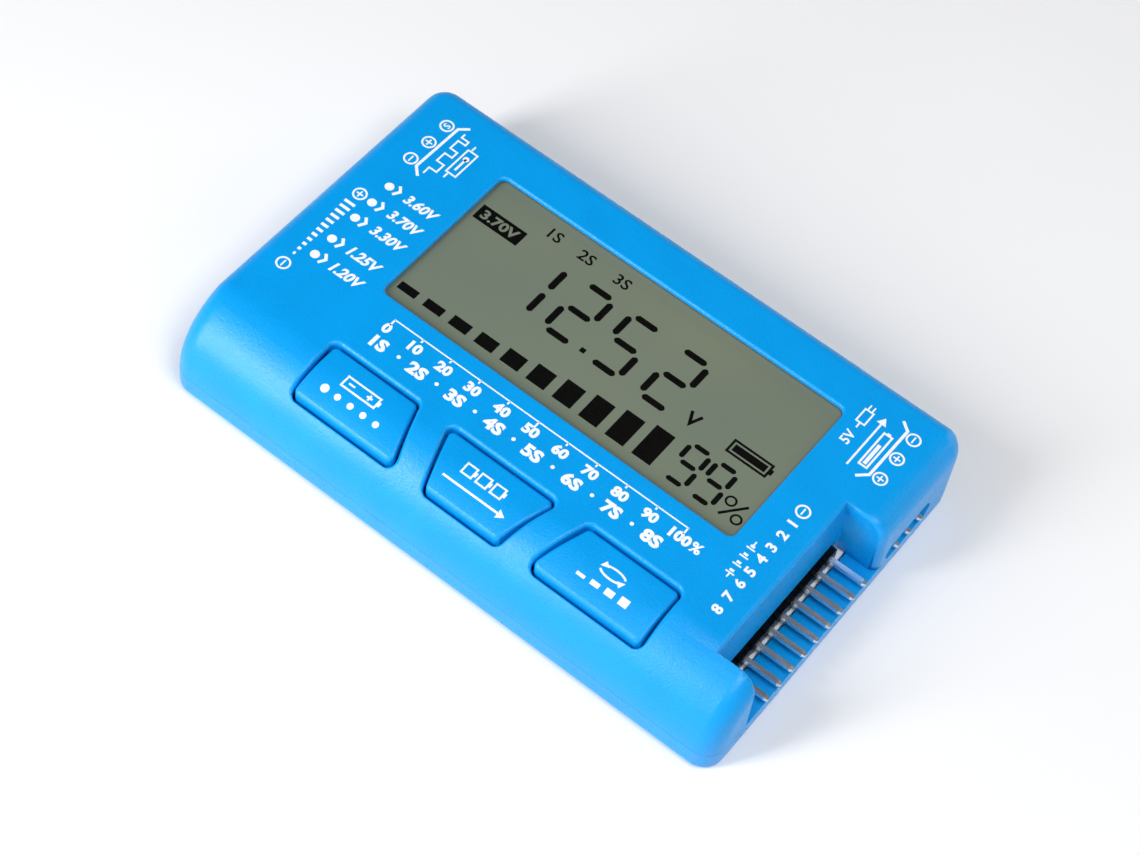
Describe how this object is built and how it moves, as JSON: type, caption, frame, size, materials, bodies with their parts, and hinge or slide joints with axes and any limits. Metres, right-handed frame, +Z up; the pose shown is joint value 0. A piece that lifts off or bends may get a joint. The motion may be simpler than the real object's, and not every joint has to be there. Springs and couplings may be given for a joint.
{
  "type": "balance battery charger",
  "caption": "Handheld capacity checker, balance discharger and servo tester for model battery packs, with a display, keys and pin headers.",
  "frame": {"origin": "middle of the base rectangle, on the flat rest face", "axes": "+X towards the balance connector end, +Y towards the edge above the display, +Z up out of the display face"},
  "size_m": [0.0832, 0.0518, 0.0129],
  "materials": {
    "shell": "fine matt texture",
    "key": "fine matt texture",
    "black": "moulded satin",
    "steel": "tin plated",
    "film": "anti-glare film",
    "glass": "polished",
    "reflector": "satin",
    "rubber": "layered elastomer",
    "board": "solder mask",
    "ivory": "moulded"
  },
  "bodies": {
    "case": {"top_shell": "shell", "bottom_shell": "shell", "display_polariser": "film", "display_cell": "glass", "display_reflector": "reflector", "display_holder": "ivory", "contact_strip_front": "rubber", "contact_strip_back": "rubber", "main_board": "board", "adjust_pot": "ivory", "microcontroller": "black", "voltage_regulator": "black", "key_switch_left": "steel", "key_switch_centre": "steel", "key_switch_right": "steel", "balance_header": "black", "balance_pin_1": "steel", "balance_pin_2": "steel", "balance_pin_3": "steel", "balance_pin_4": "steel", "balance_pin_5": "steel", "balance_pin_6": "steel", "balance_pin_7": "steel", "balance_pin_8": "steel", "balance_pin_9": "steel", "power_header": "black", "power_pin_1": "steel", "power_pin_2": "steel", "power_pin_3": "steel", "servo_header": "black", "servo_pin_1": "steel", "servo_pin_2": "steel", "servo_pin_3": "steel", "discharge_resistor_1": "black", "discharge_resistor_2": "black", "discharge_resistor_3": "black", "discharge_resistor_4": "black", "discharge_resistor_5": "black", "discharge_resistor_6": "black", "discharge_resistor_7": "black", "discharge_resistor_8": "black", "case_screw_1": "steel", "case_screw_2": "steel", "case_screw_3": "steel", "case_screw_4": "steel"},
    "key_left": {"keycap_left": "key", "key_plunger_left": "black"},
    "key_centre": {"keycap_centre": "key", "key_plunger_centre": "black"},
    "key_right": {"keycap_right": "key", "key_plunger_right": "black"},
    "adjust_wheel": {"adjust_wheel": "black"}
  },
  "joints": [
    {"name": "key_left_press", "type": "slide", "parent": "case", "child": "key_left", "axis": [0, 0, -1], "range_m": [0, 0.0003], "stiffness_N_per_m": 1500, "springref_m": -0.0003},
    {"name": "key_centre_press", "type": "slide", "parent": "case", "child": "key_centre", "axis": [0, 0, -1], "range_m": [0, 0.0003], "stiffness_N_per_m": 1500, "springref_m": -0.0003},
    {"name": "key_right_press", "type": "slide", "parent": "case", "child": "key_right", "axis": [0, 0, -1], "range_m": [0, 0.0003], "stiffness_N_per_m": 1500, "springref_m": -0.0003},
    {"name": "adjust_wheel_turn", "type": "hinge", "parent": "case", "child": "adjust_wheel", "pos_m": [-0.0361, -0.0029, 0.0076], "axis": [0, 0, 1], "range_deg": [-135, 135]}
  ]
}
